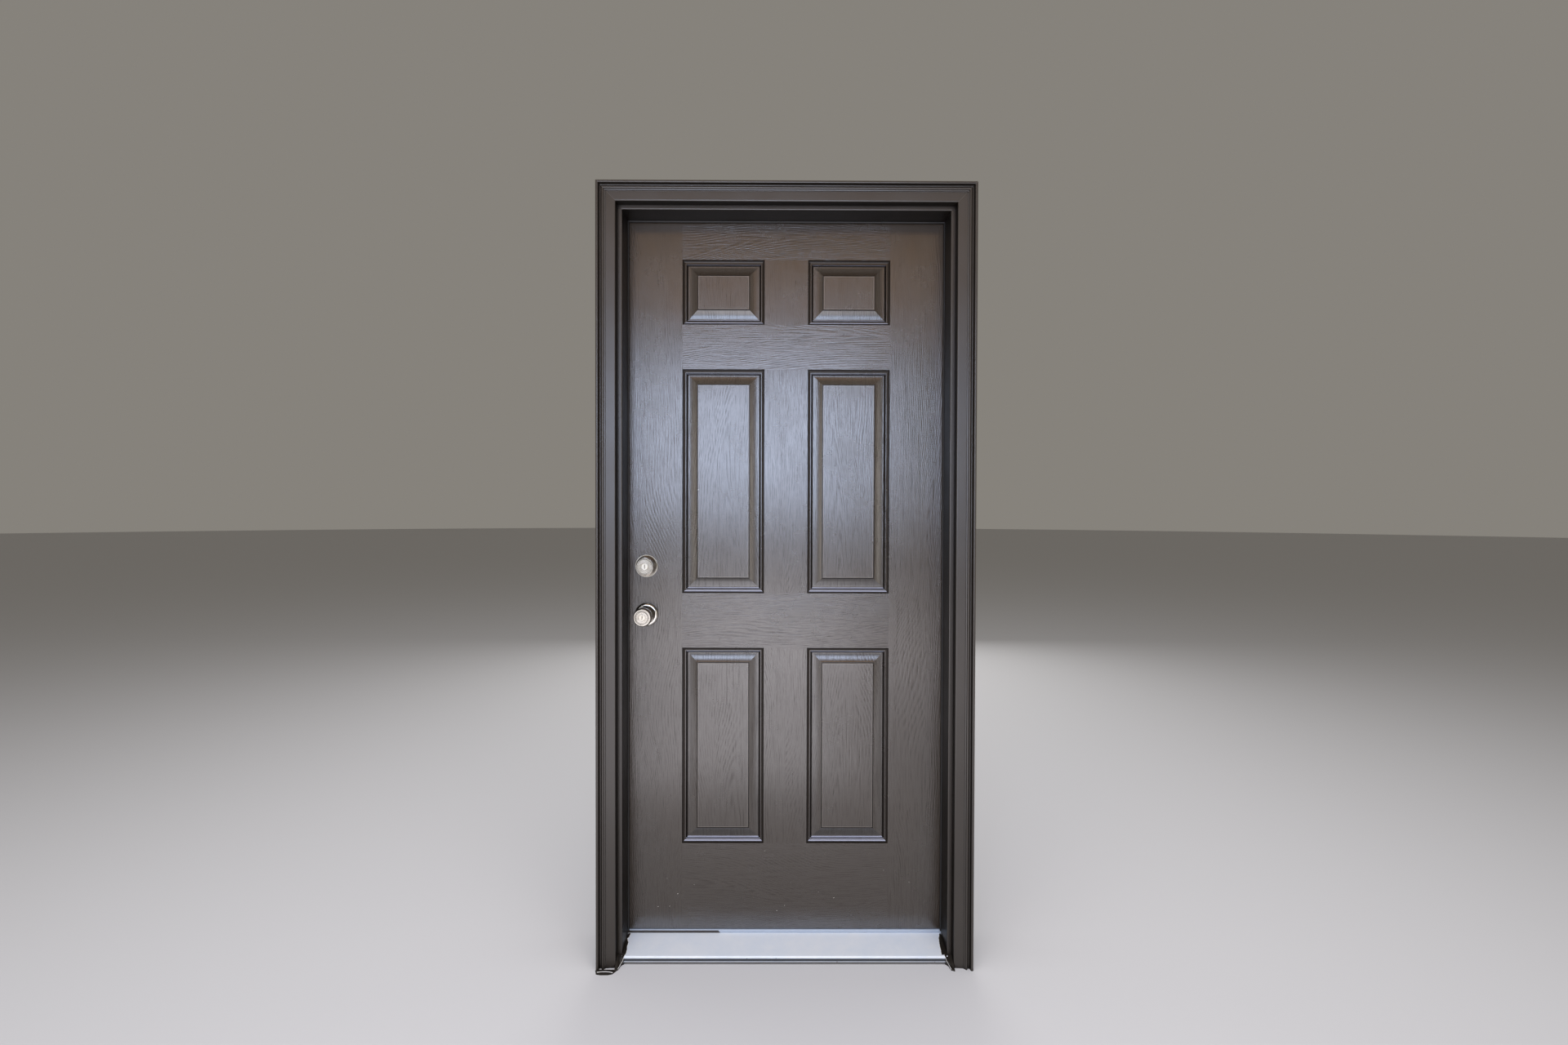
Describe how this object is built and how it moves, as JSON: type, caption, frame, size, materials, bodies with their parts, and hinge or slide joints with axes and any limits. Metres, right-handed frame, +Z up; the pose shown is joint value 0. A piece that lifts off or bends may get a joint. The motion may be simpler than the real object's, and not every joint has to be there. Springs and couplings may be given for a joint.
{
  "type": "panelled front door",
  "caption": "Inward-opening panelled entrance door hung in its own frame, with casing, sloping metal sill, weather seals, butt hinges, a knob latch and a deadbolt.",
  "frame": {"origin": "on the underside of the sill, midway between the jambs, below the street face of the slab", "axes": "+X to the right as seen from the street (hinge side), +Y into the house, +Z up"},
  "size_m": [1.0148, 0.2103, 2.1104],
  "materials": {
    "frame_paint": "dark brown exterior paint on primed pine, satin",
    "mill_aluminium": "mill-finish extrusion, fine drawing lines",
    "sill_composite": "extruded composite, matt",
    "cap_vinyl": "extruded vinyl, satin",
    "zinc_screw": "zinc-plated steel",
    "foam_seal": "black foam in a thin film",
    "satin_nickel": "satin nickel on brass, turned",
    "lock_steel": "zinc-plated steel, satin",
    "plug_brass": "nickel-plated brass plug",
    "slab_paint": "dark brown paint on embossed fibreglass, satin",
    "edge_timber": "laminated timber edge, painted",
    "rail_composite": "composite rail, painted",
    "foam": "closed-cell foam",
    "sweep_vinyl": "flexible vinyl, matt",
    "hinge_steel": "satin nickel plated steel"
  },
  "bodies": {
    "frame": {"hinge_jamb": "frame_paint", "strike_jamb": "frame_paint", "head_jamb": "frame_paint", "casing_hinge_side": "frame_paint", "casing_strike_side": "frame_paint", "casing_head": "frame_paint", "sill_deck": "mill_aluminium", "sill_substrate": "sill_composite", "threshold_cap": "cap_vinyl", "threshold_cap_screws": "zinc_screw", "frame_screws": "zinc_screw", "weather_seal_hinge_side": "foam_seal", "weather_seal_strike_side": "foam_seal", "weather_seal_head": "foam_seal", "corner_pad_hinge_side": "foam_seal", "corner_pad_strike_side": "foam_seal", "latch_strike": "satin_nickel", "deadbolt_strike": "satin_nickel", "strike_screws": "satin_nickel", "jamb_hinge_screws": "zinc_screw", "hinge_leaf_jamb_top": "hinge_steel", "hinge_leaf_jamb_middle": "hinge_steel", "hinge_leaf_jamb_bottom": "hinge_steel", "hinge_pin_top": "hinge_steel", "hinge_pin_middle": "hinge_steel", "hinge_pin_bottom": "hinge_steel"},
    "door": {"exterior_skin": "slab_paint", "interior_skin": "slab_paint", "lock_stile": "edge_timber", "hinge_stile": "edge_timber", "top_rail": "edge_timber", "bottom_rail": "rail_composite", "lock_block": "edge_timber", "foam_core": "foam", "door_sweep": "sweep_vinyl", "door_hinge_screws": "zinc_screw", "hinge_leaf_door_top": "hinge_steel", "hinge_leaf_door_middle": "hinge_steel", "hinge_leaf_door_bottom": "hinge_steel", "lock_screws": "satin_nickel", "knob_rose_exterior": "satin_nickel", "knob_rose_interior": "satin_nickel", "latch_case": "lock_steel", "deadbolt_case": "lock_steel", "deadbolt_collar": "satin_nickel", "deadbolt_cylinder": "satin_nickel", "deadbolt_rose_interior": "satin_nickel"},
    "knob": {"exterior_knob": "satin_nickel", "interior_knob": "satin_nickel", "knob_spindle": "lock_steel"},
    "knob_plug": {"knob_key_plug": "plug_brass"},
    "button": {"lock_button": "satin_nickel"},
    "latch": {"latch_bolt": "lock_steel"},
    "thumb": {"thumbturn": "satin_nickel", "tailpiece": "lock_steel"},
    "bolt": {"deadbolt_bolt": "lock_steel"},
    "bolt_plug": {"deadbolt_key_plug": "plug_brass"}
  },
  "joints": [
    {"name": "door_swing", "type": "hinge", "parent": "frame", "child": "door", "pos_m": [0.4555, 0.052, 0], "axis": [0, 0, -1], "range_deg": [0, 170]},
    {"name": "knob_turn", "type": "hinge", "parent": "door", "child": "knob", "pos_m": [-0.3937, 0, 0.941], "axis": [0, 1, 0], "range_deg": [0, 60], "stiffness_Nm_per_rad": 0.4},
    {"name": "latch_slide", "type": "slide", "parent": "door", "child": "latch", "axis": [1, 0, 0], "range_m": [0, 0.0127]},
    {"name": "knob_key_turn", "type": "hinge", "parent": "knob", "child": "knob_plug", "pos_m": [-0.3937, 0, 0.941], "axis": [0, 1, 0], "range_deg": [0, 90]},
    {"name": "lock_button_turn", "type": "hinge", "parent": "knob", "child": "button", "pos_m": [-0.3937, 0, 0.941], "axis": [0, 1, 0], "range_deg": [0, 90]},
    {"name": "deadbolt_turn", "type": "hinge", "parent": "door", "child": "thumb", "pos_m": [-0.3937, 0, 1.079], "axis": [0, 1, 0], "range_deg": [0, 90]},
    {"name": "deadbolt_slide", "type": "slide", "parent": "door", "child": "bolt", "axis": [-1, 0, 0], "range_m": [0, 0.0254]},
    {"name": "deadbolt_key_turn", "type": "hinge", "parent": "door", "child": "bolt_plug", "pos_m": [-0.3937, 0, 1.079], "axis": [0, 1, 0], "range_deg": [0, 90]}
  ],
  "couplings": [
    {"joint": "latch_slide", "follows": "knob_turn", "m_per_rad": 0.012127},
    {"joint": "deadbolt_slide", "follows": "deadbolt_turn", "m_per_rad": 0.01617},
    {"joint": "deadbolt_key_turn", "follows": "deadbolt_turn", "ratio": 1}
  ]
}
